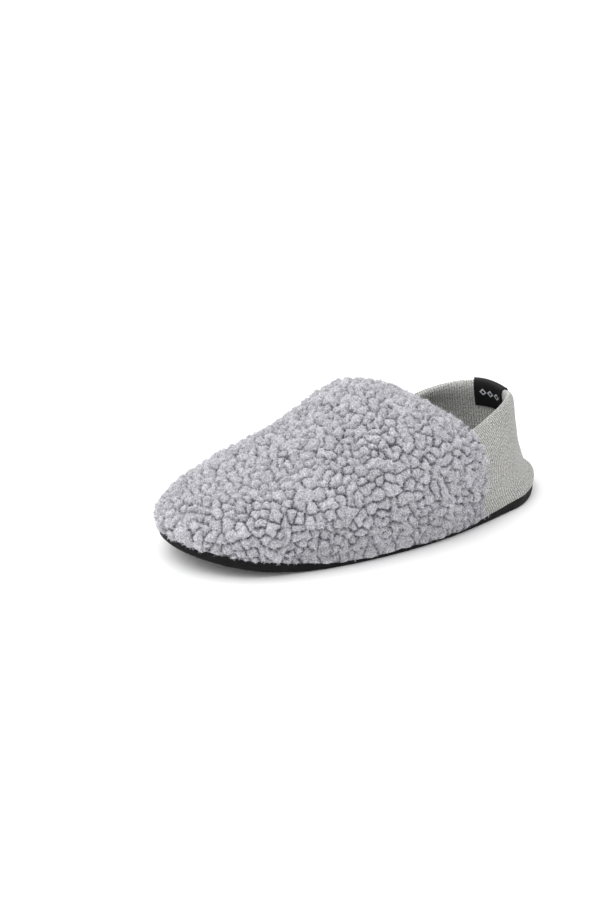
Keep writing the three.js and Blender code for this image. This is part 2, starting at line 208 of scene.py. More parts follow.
@dataclass(frozen=True)
class Last:
    """The slipper's shape: its sole, the cloth surface of its upper and its rim."""

    length: float = 265.0
    sole_thickness: float = 7.5
    toe_spring: float = 14.0
    toe_spring_from: float = 0.68
    heel_lift: float = 2.0
    heel_lift_to: float = 0.1
    clearance: float = 0.3
    seat_inset: float = 1.5
    wall_round: float = 2.4
    heel_end: tuple[float, float] = (0.14, 2.0)
    toe_end: tuple[float, float] = (0.18, 2.3)
    toe_top: tuple[float, float] = (0.2, 1.9)
    mouth_y: float = 57.6
    mouth_outer: float = 34.3
    mouth_inner: float = -34.2
    mouth_bow: float = 8.6
    rim_back: float = 113.5
    rim_middle: float = 0.0
    rim_power: float = 1.85
    heel_turn: float = 0.35
    cloth: float = 2.5
    seam_gap: float = 0.3 / 265
    ledge: float = 1.75

    SOLE: ClassVar[dict[str, Curve]] = curves(
        "at half shift",
        [
            (0, 30.5, 0),
            (0.14, 40.2, 0),
            (0.42, 47.2, 6.6),
            (0.66, 49.8, 1.5),
            (0.86, 45.4, -5.6),
            (1, 35.8, -8.1),
        ],
    )
    VAMP: ClassVar[dict[str, Curve]] = curves(
        "at out height ridge middle outer inner",
        [
            (0.15, 1, 26, 60, 0, 3, 3.8),
            (0.3, 1.5, 28, 65.8, -2, 3.2, 4),
            (0.4, 2, 30, 80, -8.5, 2.7, 3),
            (0.5, 2, 32, 85.2, -12, 2, 2.5),
            (0.62, 2, 33, 70, -8, 2, 2.3),
            (0.75, 1.2, 32, 55.5, -7, 2, 2.1),
            (0.88, -0.2, 27, 42.8, -3.5, 2.1, 2.1),
            (1, -0.2, 25, 35.8, -8.1, 2.1, 2.1),
        ],
    )
    RIM: ClassVar[dict[str, Curve]] = curves("around height", [(0, 66.7), (0.35, 70), (0.7, 67), (1, 60.3)])
    HEEL: ClassVar[dict[str, Curve]] = curves(
        "row rise lean",
        [
            (0, 0, 0),
            (0.25, 0.06, -0.04),
            (0.5, 0.13, 0.22),
            (0.75, 0.21, 0.35),
            (1, 0.3, 0.47),
            (1.25, 0.43, 0.6),
            (1.5, 0.61, 0.72),
            (2, 1, 1),
        ],
    )
    SEAM: ClassVar[dict[str, Curve]] = curves("row angle", [(0, 1.06), (0.5, 1.11), (1, 1.085)])

    def station(self, angle: Array) -> Array:
        """Share of the length from the heel's back, at an outline angle."""
        return (1.0 - np.cos(angle)) / 2.0

    def sole_outline(self, angle: Array) -> Array:
        """The sole's edge in plan. The angle is 0 at the heel's back and pi at the tip.

        Args:
            angle: outline angles.

        Returns:
            The places.
        """
        s = self.station(angle)
        half = self.SOLE["half"](s) * round_end(s, *self.heel_end) * round_end(1 - s, *self.toe_end)
        x = self.SOLE["shift"](s) + np.where(np.sin(angle) < 0, -1.0, 1.0) * half
        return np.stack([x, (0.5 - s) * self.length], axis=-1)

    def outward(self, angle: Array) -> Array:
        """Plan direction that leads away from the outline.

        Args:
            angle: outline angles.

        Returns:
            The directions.
        """
        step = 0.01
        along = unit(self.sole_outline(angle + step) - self.sole_outline(angle - step))
        return np.stack([-along[..., 1], along[..., 0]], axis=-1)

    def underside(self, y: Array) -> Array:
        """Height of the sole's underside.

        Args:
            y: places along.

        Returns:
            The heights.
        """
        s = 0.5 - y / self.length
        toe = np.maximum((s - self.toe_spring_from) / (1 - self.toe_spring_from), 0.0)
        heel = np.maximum((self.heel_lift_to - s) / self.heel_lift_to, 0.0)
        return self.toe_spring * toe**2 + self.heel_lift * heel**2

    def sole_top(self, y: Array) -> Array:
        """Height of the sole's upper face."""
        return self.underside(y) + self.sole_thickness

    def widest(self, angle: Array) -> Array:
        """The widest line of the upper.

        Args:
            angle: outline angles.

        Returns:
            The points.
        """
        s = self.station(angle)
        half = (self.SOLE["half"](s) + self.VAMP["out"](s)) * round_end(1 - s, *self.toe_end)
        x = self.SOLE["shift"](s) + np.where(np.sin(angle) < 0, -1.0, 1.0) * half
        return np.stack([x, (0.5 - s) * self.length, self.VAMP["height"](s)], axis=-1)

    def arch_height(self, x: Array, y: Array) -> Array:
        """Height of the vamp's arch over a point inside the widest line.

        Args:
            x: places across.
            y: places along.

        Returns:
            The heights.
        """
        s = 0.5 - y / self.length
        shift = self.SOLE["shift"](s)
        half = self.SOLE["half"](s) + self.VAMP["out"](s)
        off = self.VAMP["middle"](s) - shift
        cap = round_end(1 - s, *self.toe_end)
        across = x - shift - off * cap
        reach = np.maximum((half - np.sign(across) * off) * cap, 1e-6)
        base = self.VAMP["height"](s)
        rise = (self.VAMP["ridge"](s) - base) * round_end(1 - s, *self.toe_top)
        power = np.where(across > 0, self.VAMP["outer"](s), self.VAMP["inner"](s))
        share = np.minimum(np.abs(across) / reach, 1.0)
        return base + rise * (1.0 - share**power) ** (1.0 / power)

    def seam_angle(self, row: Array) -> Array:
        """Outline angle of the seam between vamp and cuff."""
        return self.SEAM["angle"](np.minimum(row, 1.0))

    def rim(self, around: Array) -> Array:
        """The cuff's top edge, from -1 at the inner corner to 1 at the outer one.

        Args:
            around: places along the edge.

        Returns:
            The points.
        """
        turn = around * math.pi / 2
        side, front = np.abs(np.sin(turn)), np.maximum(np.cos(turn), 0.0)
        reach = (side**self.rim_power + front**self.rim_power) ** (-1.0 / self.rim_power)
        backward = reach * front
        middle = lerp((self.mouth_outer + self.mouth_inner) / 2, self.rim_middle, backward)
        x = middle + (self.mouth_outer - self.mouth_inner) / 2 * reach * np.sin(turn)
        y = lerp(self.mouth_y, self.rim_back, backward)
        return np.stack([x, y, self.RIM["height"](np.abs(around))], axis=-1)

    def foot(self, angle: Array) -> Array:
        """Where the cloth stands on the sole."""
        plan = self.sole_outline(angle) - self.seat_inset * self.outward(angle)
        return raised(plan, self.sole_top(plan[..., 1]) + self.clearance)

    def wall(self, angle: Array, row: Array) -> Array:
        """The side wall, row 0 at the sole and 1 at the widest line.

        Args:
            angle: outline angles.
            row: rows.

        Returns:
            The points.
        """
        wide, foot = self.widest(angle), self.foot(angle)
        swell = 1.0 - (1.0 - row) ** self.wall_round
        plan = lerp(foot[..., :2], wide[..., :2], swell[..., None])
        return raised(plan, lerp(foot[..., 2], wide[..., 2], row))

    def cuff(self, angle: Array, row: Array) -> Array:
        """The cuff's cloth surface, row 0 at the sole, 1 at the widest line, 2 at the rim.

        Args:
            angle: outline angles, 0 at the heel's back.
            row: rows.

        Returns:
            The points.
        """
        low = np.minimum(row, 1.0)
        edge, wide, foot = self.rim(angle / self.seam_angle(1.0)), self.widest(angle), self.foot(angle)
        over = (1.0 - np.cos(np.maximum(row - 1.0, 0.0) * math.pi / 2))[..., None]
        upper = lerp(wide, edge, over)
        arch = self.arch_height(upper[..., 0], upper[..., 1])
        settle = (edge[..., 2] - self.arch_height(edge[..., 0], edge[..., 1])) * over[..., 0]
        upper[..., 2] = arch + settle
        point = np.where((row <= 1.0)[..., None], self.wall(angle, low), upper)
        turned = (np.abs(angle) - self.heel_turn) / (self.seam_angle(1.0) - self.heel_turn)
        share = (1.0 - smooth(turned))[..., None]
        lean, rise = self.HEEL["lean"](row)[..., None], self.HEEL["rise"](row)
        plan = lerp(foot[..., :2], edge[..., :2], lean)
        heel = raised(plan, lerp(foot[..., 2], edge[..., 2], rise))
        return lerp(point, heel, share)

    def mouth_setback(self, share: Array) -> Array:
        """How far towards the toe the vamp's edge lies from the feet of the seams.

        Args:
            share: places across, 0 outside and 1 inside.

        Returns:
            The distances.
        """
        outer, inner = self.widest(self.seam_angle(1.0)), self.widest(-self.seam_angle(1.0))
        x = lerp(outer[..., 0], inner[..., 0], share)
        across = 2 * (self.mouth_outer - x) / (self.mouth_outer - self.mouth_inner) - 1
        middle = outer[..., 1] - self.mouth_y + self.mouth_bow * (1 - across**2)
        near = (outer[..., 1] - self.mouth_y) * (outer[..., 0] - x) / (outer[..., 0] - self.mouth_outer)
        far = (inner[..., 1] - self.mouth_y) * (x - inner[..., 0]) / (self.mouth_inner - inner[..., 0])
        return np.where(x > self.mouth_outer, near, np.where(x < self.mouth_inner, far, middle))

    def arch(self, along: Array, across: Array) -> Array:
        """The vamp's top, along 0 at the mouth and 1 at the toe, across 0 outside and 1 inside.

        Args:
            along: places from the mouth to the toe.
            across: places from side to side.

        Returns:
            The points.
        """
        angle = lerp(self.seam_angle(1.0), math.pi, along)
        share = (1.0 - np.cos(math.pi * across)) / 2
        outer, inner = self.widest(angle), self.widest(-angle)
        x = lerp(outer[..., 0], inner[..., 0], share)
        y = outer[..., 1] - self.mouth_setback(share) * (1.0 - along) ** 1.5
        return np.stack([x, y, self.arch_height(x, y)], axis=-1)


LAST = Last()


def normals_of(surface: Callable[[Array, Array], Array], u: Array, v: Array, high: tuple) -> Array:
    """Unit normals of a surface, pointing out of the slipper.

    Args:
        surface: gives points from its two directions.
        u: first direction.
        v: second direction, from 0 up.
        high: the ends of the two directions.

    Returns:
        One normal for each point.
    """
    step = 0.004
    first = surface(np.minimum(u + step, high[0]), v) - surface(u - step, v)
    second = surface(u, np.minimum(v + step, high[1])) - surface(u, np.maximum(v - step, 0.0))
    return unit(np.cross(second, first))


# Meshes


def grid_object(
    name: str,
    grid: Array,
    closed: bool = False,
    capped: bool = False,
    uv: Optional[Array] = None,
    values: Optional[dict[str, Array]] = None,
    flip: bool = False,
) -> bpy.types.Object:
    """An object from a grid of points in millimetres.

    Args:
        name: the object's name.
        grid: points, rows by columns by 3.
        closed: joins the last column to the first.
        capped: fills the first and last rows, whose second half runs back along the first.
        uv: a place in millimetres for each point, for woven and knitted patterns.
        values: named numbers for each point, kept as attributes.
        flip: turns the faces round.

    Returns:
        The object, smooth shaded, with doubled points merged.
    """
    rows, columns = grid.shape[:2]
    index = np.arange(rows * columns).reshape(rows, columns)
    ring = np.hstack([index, index[:, :1]]) if closed else index
    a, b, c, d = ring[:-1, :-1], ring[:-1, 1:], ring[1:, 1:], ring[1:, :-1]
    quads = np.stack([a, d, c, b] if flip else [a, b, c, d], axis=-1).reshape(-1, 4)
    if capped:
        near, far = index[:, : columns // 2], index[:, ::-1][:, : columns // 2]
        first = np.stack([near[0, 1:], near[0, :-1], far[0, :-1], far[0, 1:]], axis=-1)
        last = np.stack([near[-1, :-1], near[-1, 1:], far[-1, 1:], far[-1, :-1]], axis=-1)
        quads = np.concatenate([quads, first, last])
    mesh = bpy.data.meshes.new(name)
    mesh.vertices.add(rows * columns)
    mesh.vertices.foreach_set("co", (grid.reshape(-1, 3) * MM).astype(np.float32).ravel())
    mesh.loops.add(quads.size)
    mesh.loops.foreach_set("vertex_index", quads.astype(np.int32).ravel())
    mesh.polygons.add(len(quads))
    mesh.polygons.foreach_set("loop_start", np.arange(0, quads.size, 4, dtype=np.int32))
    mesh.update(calc_edges=True)
    if uv is not None:
        spots = uv.reshape(-1, 2)[quads.ravel()]
        mesh.uv_layers.new(name="cloth")
        mesh.uv_layers["cloth"].data.foreach_set("uv", spots.astype(np.float32).ravel())
    carry(mesh, values or {})
    piece = bpy.data.objects.new(name, mesh)
    bpy.context.collection.objects.link(piece)
    weld(mesh)
    return piece


def carry(mesh: bpy.types.Mesh, values: dict[str, Array]) -> None:
    """Keeps named numbers on the points of a mesh.

    Args:
        mesh: the mesh.
        values: the numbers under each name.
    """
    for key, numbers in values.items():
        layer = mesh.attributes.new(key, "FLOAT", "POINT")
        layer.data.foreach_set("value", numbers.astype(np.float32).ravel())


def weld(mesh: bpy.types.Mesh) -> None:
    """Merges points that fall together, drops faces without area and shades smoothly.

    Args:
        mesh: the mesh.
    """
    work = bmesh.new()
    work.from_mesh(mesh)
    bmesh.ops.remove_doubles(work, verts=work.verts, dist=2e-6)
    bmesh.ops.dissolve_degenerate(work, dist=1e-7, edges=work.edges)
    for face in work.faces:
        face.smooth = True
    work.to_mesh(mesh)
    work.free()


def arc_lengths(grid: Array, axis: int) -> Array:
    """Distance along a grid's rows or columns from their start.

    Args:
        grid: points.
        axis: 0 to go down the rows, 1 along the columns.

    Returns:
        One distance for each point.
    """
    steps = np.linalg.norm(np.diff(grid, axis=axis), axis=-1)
    start = np.zeros_like(np.take(steps, [0], axis=axis))
    return np.concatenate([start, np.cumsum(steps, axis=axis)], axis=axis)


def enrol(piece: bpy.types.Object, node: str, material: bpy.types.Material) -> None:
    """Dresses a piece and puts it in the place of its node.

    Args:
        piece: the object.
        node: the node it stands for.
        material: its finish.
    """
    piece.data.materials.append(material)
    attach(piece, "root")
    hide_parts(node)
    LOG.info("%s: %d points, %d faces", piece.name, len(piece.data.vertices), len(piece.data.polygons))


# Finishes


class Graph:
    """Places nodes in a tree by short calls."""

    def __init__(self, tree: bpy.types.NodeTree) -> None:
        """Keeps the tree."""
        self.tree = tree

    def node(self, kind: str, settings: Optional[dict[str, Any]] = None, **inputs: Any) -> Any:
        """A node with its settings and inputs.

        Args:
            kind: the node's type, without its ShaderNode prefix.
            settings: properties of the node.
            inputs: a value or an output for each named input; underscores stand for spaces.

        Returns:
            The node.
        """
        made = self.tree.nodes.new("ShaderNode" + kind)
        for key, value in (settings or {}).items():
            setattr(made, key, value)
        for key, value in inputs.items():
            self.feed(made.inputs[key.replace("_", " ")], value)
        return made

    def feed(self, socket: Any, value: Any) -> None:
        """Links an output to a socket, or sets its value.

        Args:
            socket: the socket.
            value: an output or a value.
        """
        if isinstance(value, bpy.types.NodeSocket):
            self.tree.links.new(value, socket)
        else:
            socket.default_value = value

    def math(self, operation: str, *values: Any) -> Any:
        """A Math node's output.

        Args:
            operation: what it does.
            values: its inputs.

        Returns:
            The output.
        """
        made = self.node("Math", {"operation": operation})
        for socket, value in zip(made.inputs, values):
            self.feed(socket, value)
        return made.outputs[0]

    def ramp(self, value: Any, low: float, high: float, out: tuple[float, float] = (0, 1)) -> Any:
        """A value carried smoothly from one range to another.

        Args:
            value: the value.
            low: start of its range.
            high: end of its range.
            out: the range that it goes to.

        Returns:
            The node's output.
        """
        made = self.node("MapRange", {"interpolation_type": "SMOOTHSTEP"})
        for socket, number in zip(made.inputs, (value, low, high, out[0], out[1])):
            self.feed(socket, number)
        return made.outputs[0]

    def mix(self, share: Any, first: Any, second: Any, blend: str = "MIX") -> Any:
        """A colour mixed from two.

        Args:
            share: 0 for the first and 1 for the second.
            first: one colour.
            second: the other.
            blend: the way of mixing.

        Returns:
            The node's output.
        """
        made = self.node("Mix", {"data_type": "RGBA", "blend_type": blend})
        self.feed(made.inputs[0], share)
        self.feed(made.inputs[6], first)
        self.feed(made.inputs[7], second)
        return made.outputs[2]

    def shaded(self, colour: Any, shade: Any) -> Any:
        """A colour made lighter or darker by a value."""
        grey = self.node("CombineColor", Red=shade, Green=shade, Blue=shade).outputs[0]
        return self.mix(1.0, colour, grey, "MULTIPLY")

    def noise(self, vector: Any, scale: float, detail: float = 2.0, rough: float = 0.55) -> Any:
        """A noise texture's value."""
        made = self.node("TexNoise", Vector=vector, Scale=scale, Detail=detail, Roughness=rough)
        return made.outputs[0]

    def millimetres(self) -> Any:
        """Position on the object in millimetres.

        Returns:
            The node's output.
        """
        made = self.node("VectorMath", {"operation": "SCALE"}, Scale=1 / MM)
        self.feed(made.inputs[0], self.node("TexCoord").outputs["Object"])
        return made.outputs[0]


def group(name: str, inputs: dict[str, Any], outputs: Sequence[str], fill: Callable) -> Any:
    """A shared node group, built the first time it is asked for.

    Args:
        name: the group's name.
        inputs: a default for each named input; a tuple makes a vector.
        outputs: names of the values that it gives.
        fill: draws the nodes from the graph and the inputs, and returns an output for each name.

    Returns:
        The node tree.
    """
    if name in bpy.data.node_groups:
        return bpy.data.node_groups[name]
    tree = bpy.data.node_groups.new(name, "ShaderNodeTree")
    for key, value in inputs.items():
        kind = "NodeSocketVector" if isinstance(value, tuple) else "NodeSocketFloat"
        socket = tree.interface.new_socket(key, in_out="INPUT", socket_type=kind)
        socket.default_value = value
    for key in outputs:
        tree.interface.new_socket(key, in_out="OUTPUT", socket_type="NodeSocketFloat")
    source = tree.nodes.new("NodeGroupInput")
    sink = tree.nodes.new("NodeGroupOutput")
    for key, value in zip(outputs, fill(Graph(tree), source.outputs)):
        tree.links.new(value, sink.inputs[key])
    return tree


def knit_group() -> Any:
    """Rows of knitted loops: the height of the yarn and a mask of the grooves between the loops, for
    painted shade.

    Returns:
        The group's tree.
    """

    def fill(g: Graph, given: Any) -> tuple[Any, Any]:
        """Draws the loops from the group's inputs.

        Args:
            g: the group's graph.
            given: the group's inputs.

        Returns:
            The height and the mask of the grooves.
        """
        place = g.node("SeparateXYZ", Vector=given["Place"])
        across = g.math("DIVIDE", place.outputs[0], given["Wale"])
        up = g.math("DIVIDE", place.outputs[1], given["Course"])
        wobble = g.math("SUBTRACT", g.noise(given["Place"], 0.35, 1.0), 0.5)
        across = g.math("ADD", across, g.math("MULTIPLY", wobble, 0.35))
        middle = g.math("ABSOLUTE", g.math("SUBTRACT", g.math("FRACT", across), 0.5))
        leg = g.math("COSINE", g.math("MULTIPLY", middle, math.pi))
        slant = g.math("ADD", up, g.math("MULTIPLY", middle, 1.3))
        loop = g.math("ABSOLUTE", g.math("SINE", g.math("MULTIPLY", slant, math.pi)))
        body = g.math("ADD", 0.45, g.math("MULTIPLY", loop, 0.55))
        height = g.math("MULTIPLY", g.math("POWER", leg, 0.6), body)
        return height, g.math("SUBTRACT", 1.0, g.ramp(height, 0.1, 0.75))

    inputs = {"Place": (0.0, 0.0, 0.0), "Wale": 1.25, "Course": 1.0}
    return group("knitted loops", inputs, ("Height", "Groove"), fill)


def fleck_group() -> Any:
    """Mixed yarn: light and dark flecks, drawn out along the yarn, over soft clouds.

    Returns:
        The group's tree.
    """

    def fill(g: Graph, given: Any) -> tuple[Any, Any]:
        """Draws the flecks from the group's inputs.

        Args:
            g: the group's graph.
            given: the group's inputs.

        Returns:
            The flecks and the clouds.
        """
        drawn = g.node("VectorMath", {"operation": "MULTIPLY"})
        g.feed(drawn.inputs[0], given["Place"])
        g.feed(drawn.inputs[1], given["Stretch"])
        fine = g.noise(drawn.outputs[0], 1.0, 2.0, 0.7)
        return g.ramp(fine, 0.35, 0.65), g.noise(given["Place"], 0.06, 2.0)

    inputs = {"Place": (0.0, 0.0, 0.0), "Stretch": (1.0, 1.0, 1.0)}
    return group("yarn flecks", inputs, ("Fleck", "Cloud"), fill)


def rgba(red: float, green: float, blue: float) -> tuple[float, float, float, float]:
    """A colour from display values of 0 to 255."""
    shares = (red / 255, green / 255, blue / 255)
    return (*(c / 12.92 if c <= 0.04045 else ((c + 0.055) / 1.055) ** 2.4 for c in shares), 1.0)


@dataclass(frozen=True)
class Finish:
    """A cloth or rubber finish. Each kind draws its own colour, roughness and height."""

    name: str
    sheen: float
    bump: float
    specular: float

    def material(self) -> bpy.types.Material:
        """The material, with its height as a bump.

        Returns:
            The material.
        """
        made = bpy.data.materials.new(self.name)
        made.use_nodes = True
        g = Graph(made.node_tree)
        shader = made.node_tree.nodes["Principled BSDF"]
        colour, rough, height = self.draw(g)
        g.feed(shader.inputs["Base Color"], colour)
        g.feed(shader.inputs["Roughness"], rough)
        shader.inputs["Specular IOR Level"].default_value = self.specular
        shader.inputs["Sheen Weight"].default_value = self.sheen
        shader.inputs["Sheen Roughness"].default_value = 0.5
        bump = g.node("Bump", Strength=1.0, Distance=self.bump * MM, Height=height)
        g.feed(shader.inputs["Normal"], bump.outputs[0])
        return made

    def draw(self, g: Graph) -> Look:
        """The finish's colour, roughness and height.

        Args:
            g: the material's graph.

        Returns:
            The colour, the roughness and the height.
        """
        raise NotImplementedError


@dataclass(frozen=True)
class PileFinish(Finish):
    """Curly pile: pale tops with painted shade in the hollows, and fine fibre ends."""

    top: tuple = rgba(176, 175, 180)
    # Painted shade: the colour that the hollows between the nubs take.
    hollow: tuple = rgba(80, 80, 88)

    def draw(self, g: Graph) -> Look:
        """Tops and painted shade in the hollows, from the 0-to-1 shading value that the mesh carries,
        speckled by fibre ends.

        Args:
            g: the material's graph.

        Returns:
            The colour, the roughness and the height.
        """
        place = g.millimetres()
        depth = g.node("Attribute", {"attribute_name": "depth"}).outputs["Fac"]
        tuft = g.node("Attribute", {"attribute_name": "tuft"}).outputs["Fac"]
        ends = g.noise(place, 1.0, 3.0, 0.75)
        curls = g.noise(place, 0.45, 2.0, 0.6)
        lit = g.math("ADD", depth, g.math("MULTIPLY", g.math("SUBTRACT", curls, 0.5), 0.7))
        # Mixes from the hollows' painted shade to the tops, by the mesh's shading value and the curls.
        base = g.mix(g.ramp(lit, -0.05, 0.7), self.hollow, self.top)
        shade = g.ramp(ends, 0.34, 0.66, (0.54, 1.4))
        shade = g.math("MULTIPLY", shade, g.math("ADD", 0.9, g.math("MULTIPLY", tuft, 0.2)))
        height = g.math("ADD", ends, g.math("MULTIPLY", curls, 1.2))
        return g.shaded(base, shade), g.ramp(ends, 0.2, 0.8, (0.85, 1.0)), height


@dataclass(frozen=True)
class KnitFinish(Finish):
    """Heather sweatshirt knit with fine wales."""

    light: tuple = rgba(244, 244, 240)
    dark: tuple = rgba(150, 150, 146)
    wale: float = 1.85
    course: float = 1.4
    # Strength of the painted shade in the grooves between the loops.
    groove_shade: float = 0.85

    def draw(self, g: Graph) -> Look:
        """Flecked yarn in knitted loops, with painted shade in the grooves and on the outer face, and
        painted light on the inner face.

        Args:
            g: the material's graph.

        Returns:
            The colour, the roughness and the height.
        """
        flat = g.node("UVMap", {"uv_map": "cloth"}).outputs[0]
        yarn = {"node_tree": knit_group()}
        loops = g.node("Group", yarn, Place=flat, Wale=self.wale, Course=self.course)
        flecks = g.node("Group", {"node_tree": fleck_group()}, Place=flat, Stretch=(1.5, 0.7, 1.0))
        base = g.mix(flecks.outputs["Fleck"], self.dark, self.light)
        inside = g.node("Attribute", {"attribute_name": "inside"}).outputs["Fac"]
        # Painted shade in the grooves, weaker on the inner face.
        groove_shade = g.ramp(inside, 0.0, 1.0, (self.groove_shade, 0.6 * self.groove_shade))
        shade = g.math("SUBTRACT", 1.0, g.math("MULTIPLY", loops.outputs["Groove"], groove_shade))
        # Painted shade on the outer face and painted light on the inner face.
        shade = g.math("MULTIPLY", shade, g.ramp(inside, 0.0, 1.0, (0.8, 1.1)))
        shade = g.math("MULTIPLY", shade, g.ramp(flecks.outputs["Cloud"], 0.25, 0.75, (0.94, 1.06)))
        fuzz = g.math("MULTIPLY", flecks.outputs["Fleck"], 0.25)
        height = g.math("ADD", loops.outputs["Height"], fuzz)
        return g.shaded(base, shade), g.ramp(flecks.outputs["Fleck"], 0, 1, (0.82, 0.97)), height


@dataclass(frozen=True)
class RubberFinish(Finish):
    """Matt foam rubber with a fine pebbled skin."""

    skin: tuple = rgba(8, 8, 9)
    worn: tuple = rgba(34, 34, 36)

    def draw(self, g: Graph) -> Look:
        """Dark skin with pale dust in a fine grain.

        Args:
            g: the material's graph.

        Returns:
            The colour, the roughness and the height.
        """
        place = g.millimetres()
        grain = g.noise(place, 1.4, 3.0, 0.65)
        patch = g.noise(place, 0.12, 3.0)
        dust = g.math("MULTIPLY", g.ramp(grain, 0.45, 0.8), g.ramp(patch, 0.3, 0.75))
        return g.mix(dust, self.skin, self.worn), g.ramp(patch, 0.3, 0.7, (0.62, 0.85)), grain


@dataclass(frozen=True)
class FootbedFinish(Finish):
    """Brushed jersey over foam."""

    light: tuple = rgba(186, 187, 184)
    dark: tuple = rgba(140, 141, 139)

    def draw(self, g: Graph) -> Look:
        """Soft flecks and a nap brushed along the foot.

        Args:
            g: the material's graph.

        Returns:
            The colour, the roughness and the height.
        """
        place = g.millimetres()
        flecks = g.node("Group", {"node_tree": fleck_group()}, Place=place, Stretch=(1.6, 0.6, 1.6))
        fleck = flecks.outputs["Fleck"]
        cloud = g.ramp(flecks.outputs["Cloud"], 0.25, 0.75, (0.92, 1.05))
        colour = g.shaded(g.mix(fleck, self.dark, self.light), cloud)
        return colour, g.ramp(fleck, 0.0, 1.0, (0.85, 0.98)), fleck


@dataclass(frozen=True)
class TapeFinish(Finish):
    """Woven satin tape with a row of small plain diamonds."""

    ground: tuple = rgba(7, 7, 9)
    faded: tuple = rgba(26, 26, 29)
    thread: tuple = rgba(200, 201, 206)
    width: float = 20.0
    margin: float = 1.9
    row: float = 8.5
    pitch: float = 5.4
    reach: float = 1.9
    line: float = 0.6

    def draw(self, g: Graph) -> Look:
        """Dark warp with light threads woven in.

        Args:
            g: the material's graph.

        Returns:
            The colour, the roughness and the height.
        """
        at = g.node("SeparateXYZ", Vector=g.node("UVMap", {"uv_map": "cloth"}).outputs[0])
        across, down = at.outputs[0], at.outputs[1]
        side = g.math("SUBTRACT", self.width / 2, g.math("ABSOLUTE", across))
        start = g.math("ADD", across, 8.5 * self.pitch)
        cell = g.math("SUBTRACT", g.math("MODULO", start, self.pitch), self.pitch / 2)
        row = g.math("SUBTRACT", g.math("ABSOLUTE", down), self.row)
        diamond = g.math("ADD", g.math("ABSOLUTE", cell), g.math("ABSOLUTE", row))
        off = g.math("ABSOLUTE", g.math("SUBTRACT", diamond, self.reach))
        ring = g.math("LESS_THAN", off, self.line)
        marked = g.math("MULTIPLY", ring, g.math("GREATER_THAN", side, self.margin))
        warp = g.math("ABSOLUTE", g.math("SINE", g.math("MULTIPLY", across, math.pi / 0.32)))
        weft = g.math("ABSOLUTE", g.math("SINE", g.math("MULTIPLY", down, math.pi / 0.45)))
        height = g.math("ADD", g.math("MULTIPLY", warp, 0.6), g.math("MULTIPLY", weft, 0.4))
        height = g.math("ADD", height, g.math("MULTIPLY", marked, 0.8))
        worn = g.math("MULTIPLY", g.noise(g.millimetres(), 0.5, 2.0), 0.35)
        colour = g.mix(marked, g.mix(worn, self.ground, self.faded), self.thread)
        return colour, g.ramp(warp, 0.0, 1.0, (0.45, 0.62)), height


PILE = PileFinish("curly pile", 0.25, 0.6, 0.15)
# The loose ends' second colour is painted shade, for ends rooted in the pile's hollows.
FIBRES = PileFinish("loose pile ends", 0.3, 0.1, 0.15, rgba(210, 209, 214), rgba(104, 104, 112))
KNIT = KnitFinish("heather knit", 0.2, 0.5, 0.2)
# The lining has no inside mark, so it takes the outer face's painted shade and the full groove shade.
LINING = KnitFinish("lining jersey", 0.2, 0.25, 0.2, rgba(222, 222, 218), rgba(150, 150, 146))
RUBBER = RubberFinish("foam rubber", 0.0, 0.15, 0.2)
FOOTBED = FootbedFinish("brushed footbed", 0.2, 0.2, 0.2)
TAPE = TapeFinish("woven tape", 0.0, 0.12, 0.3)


# Pieces


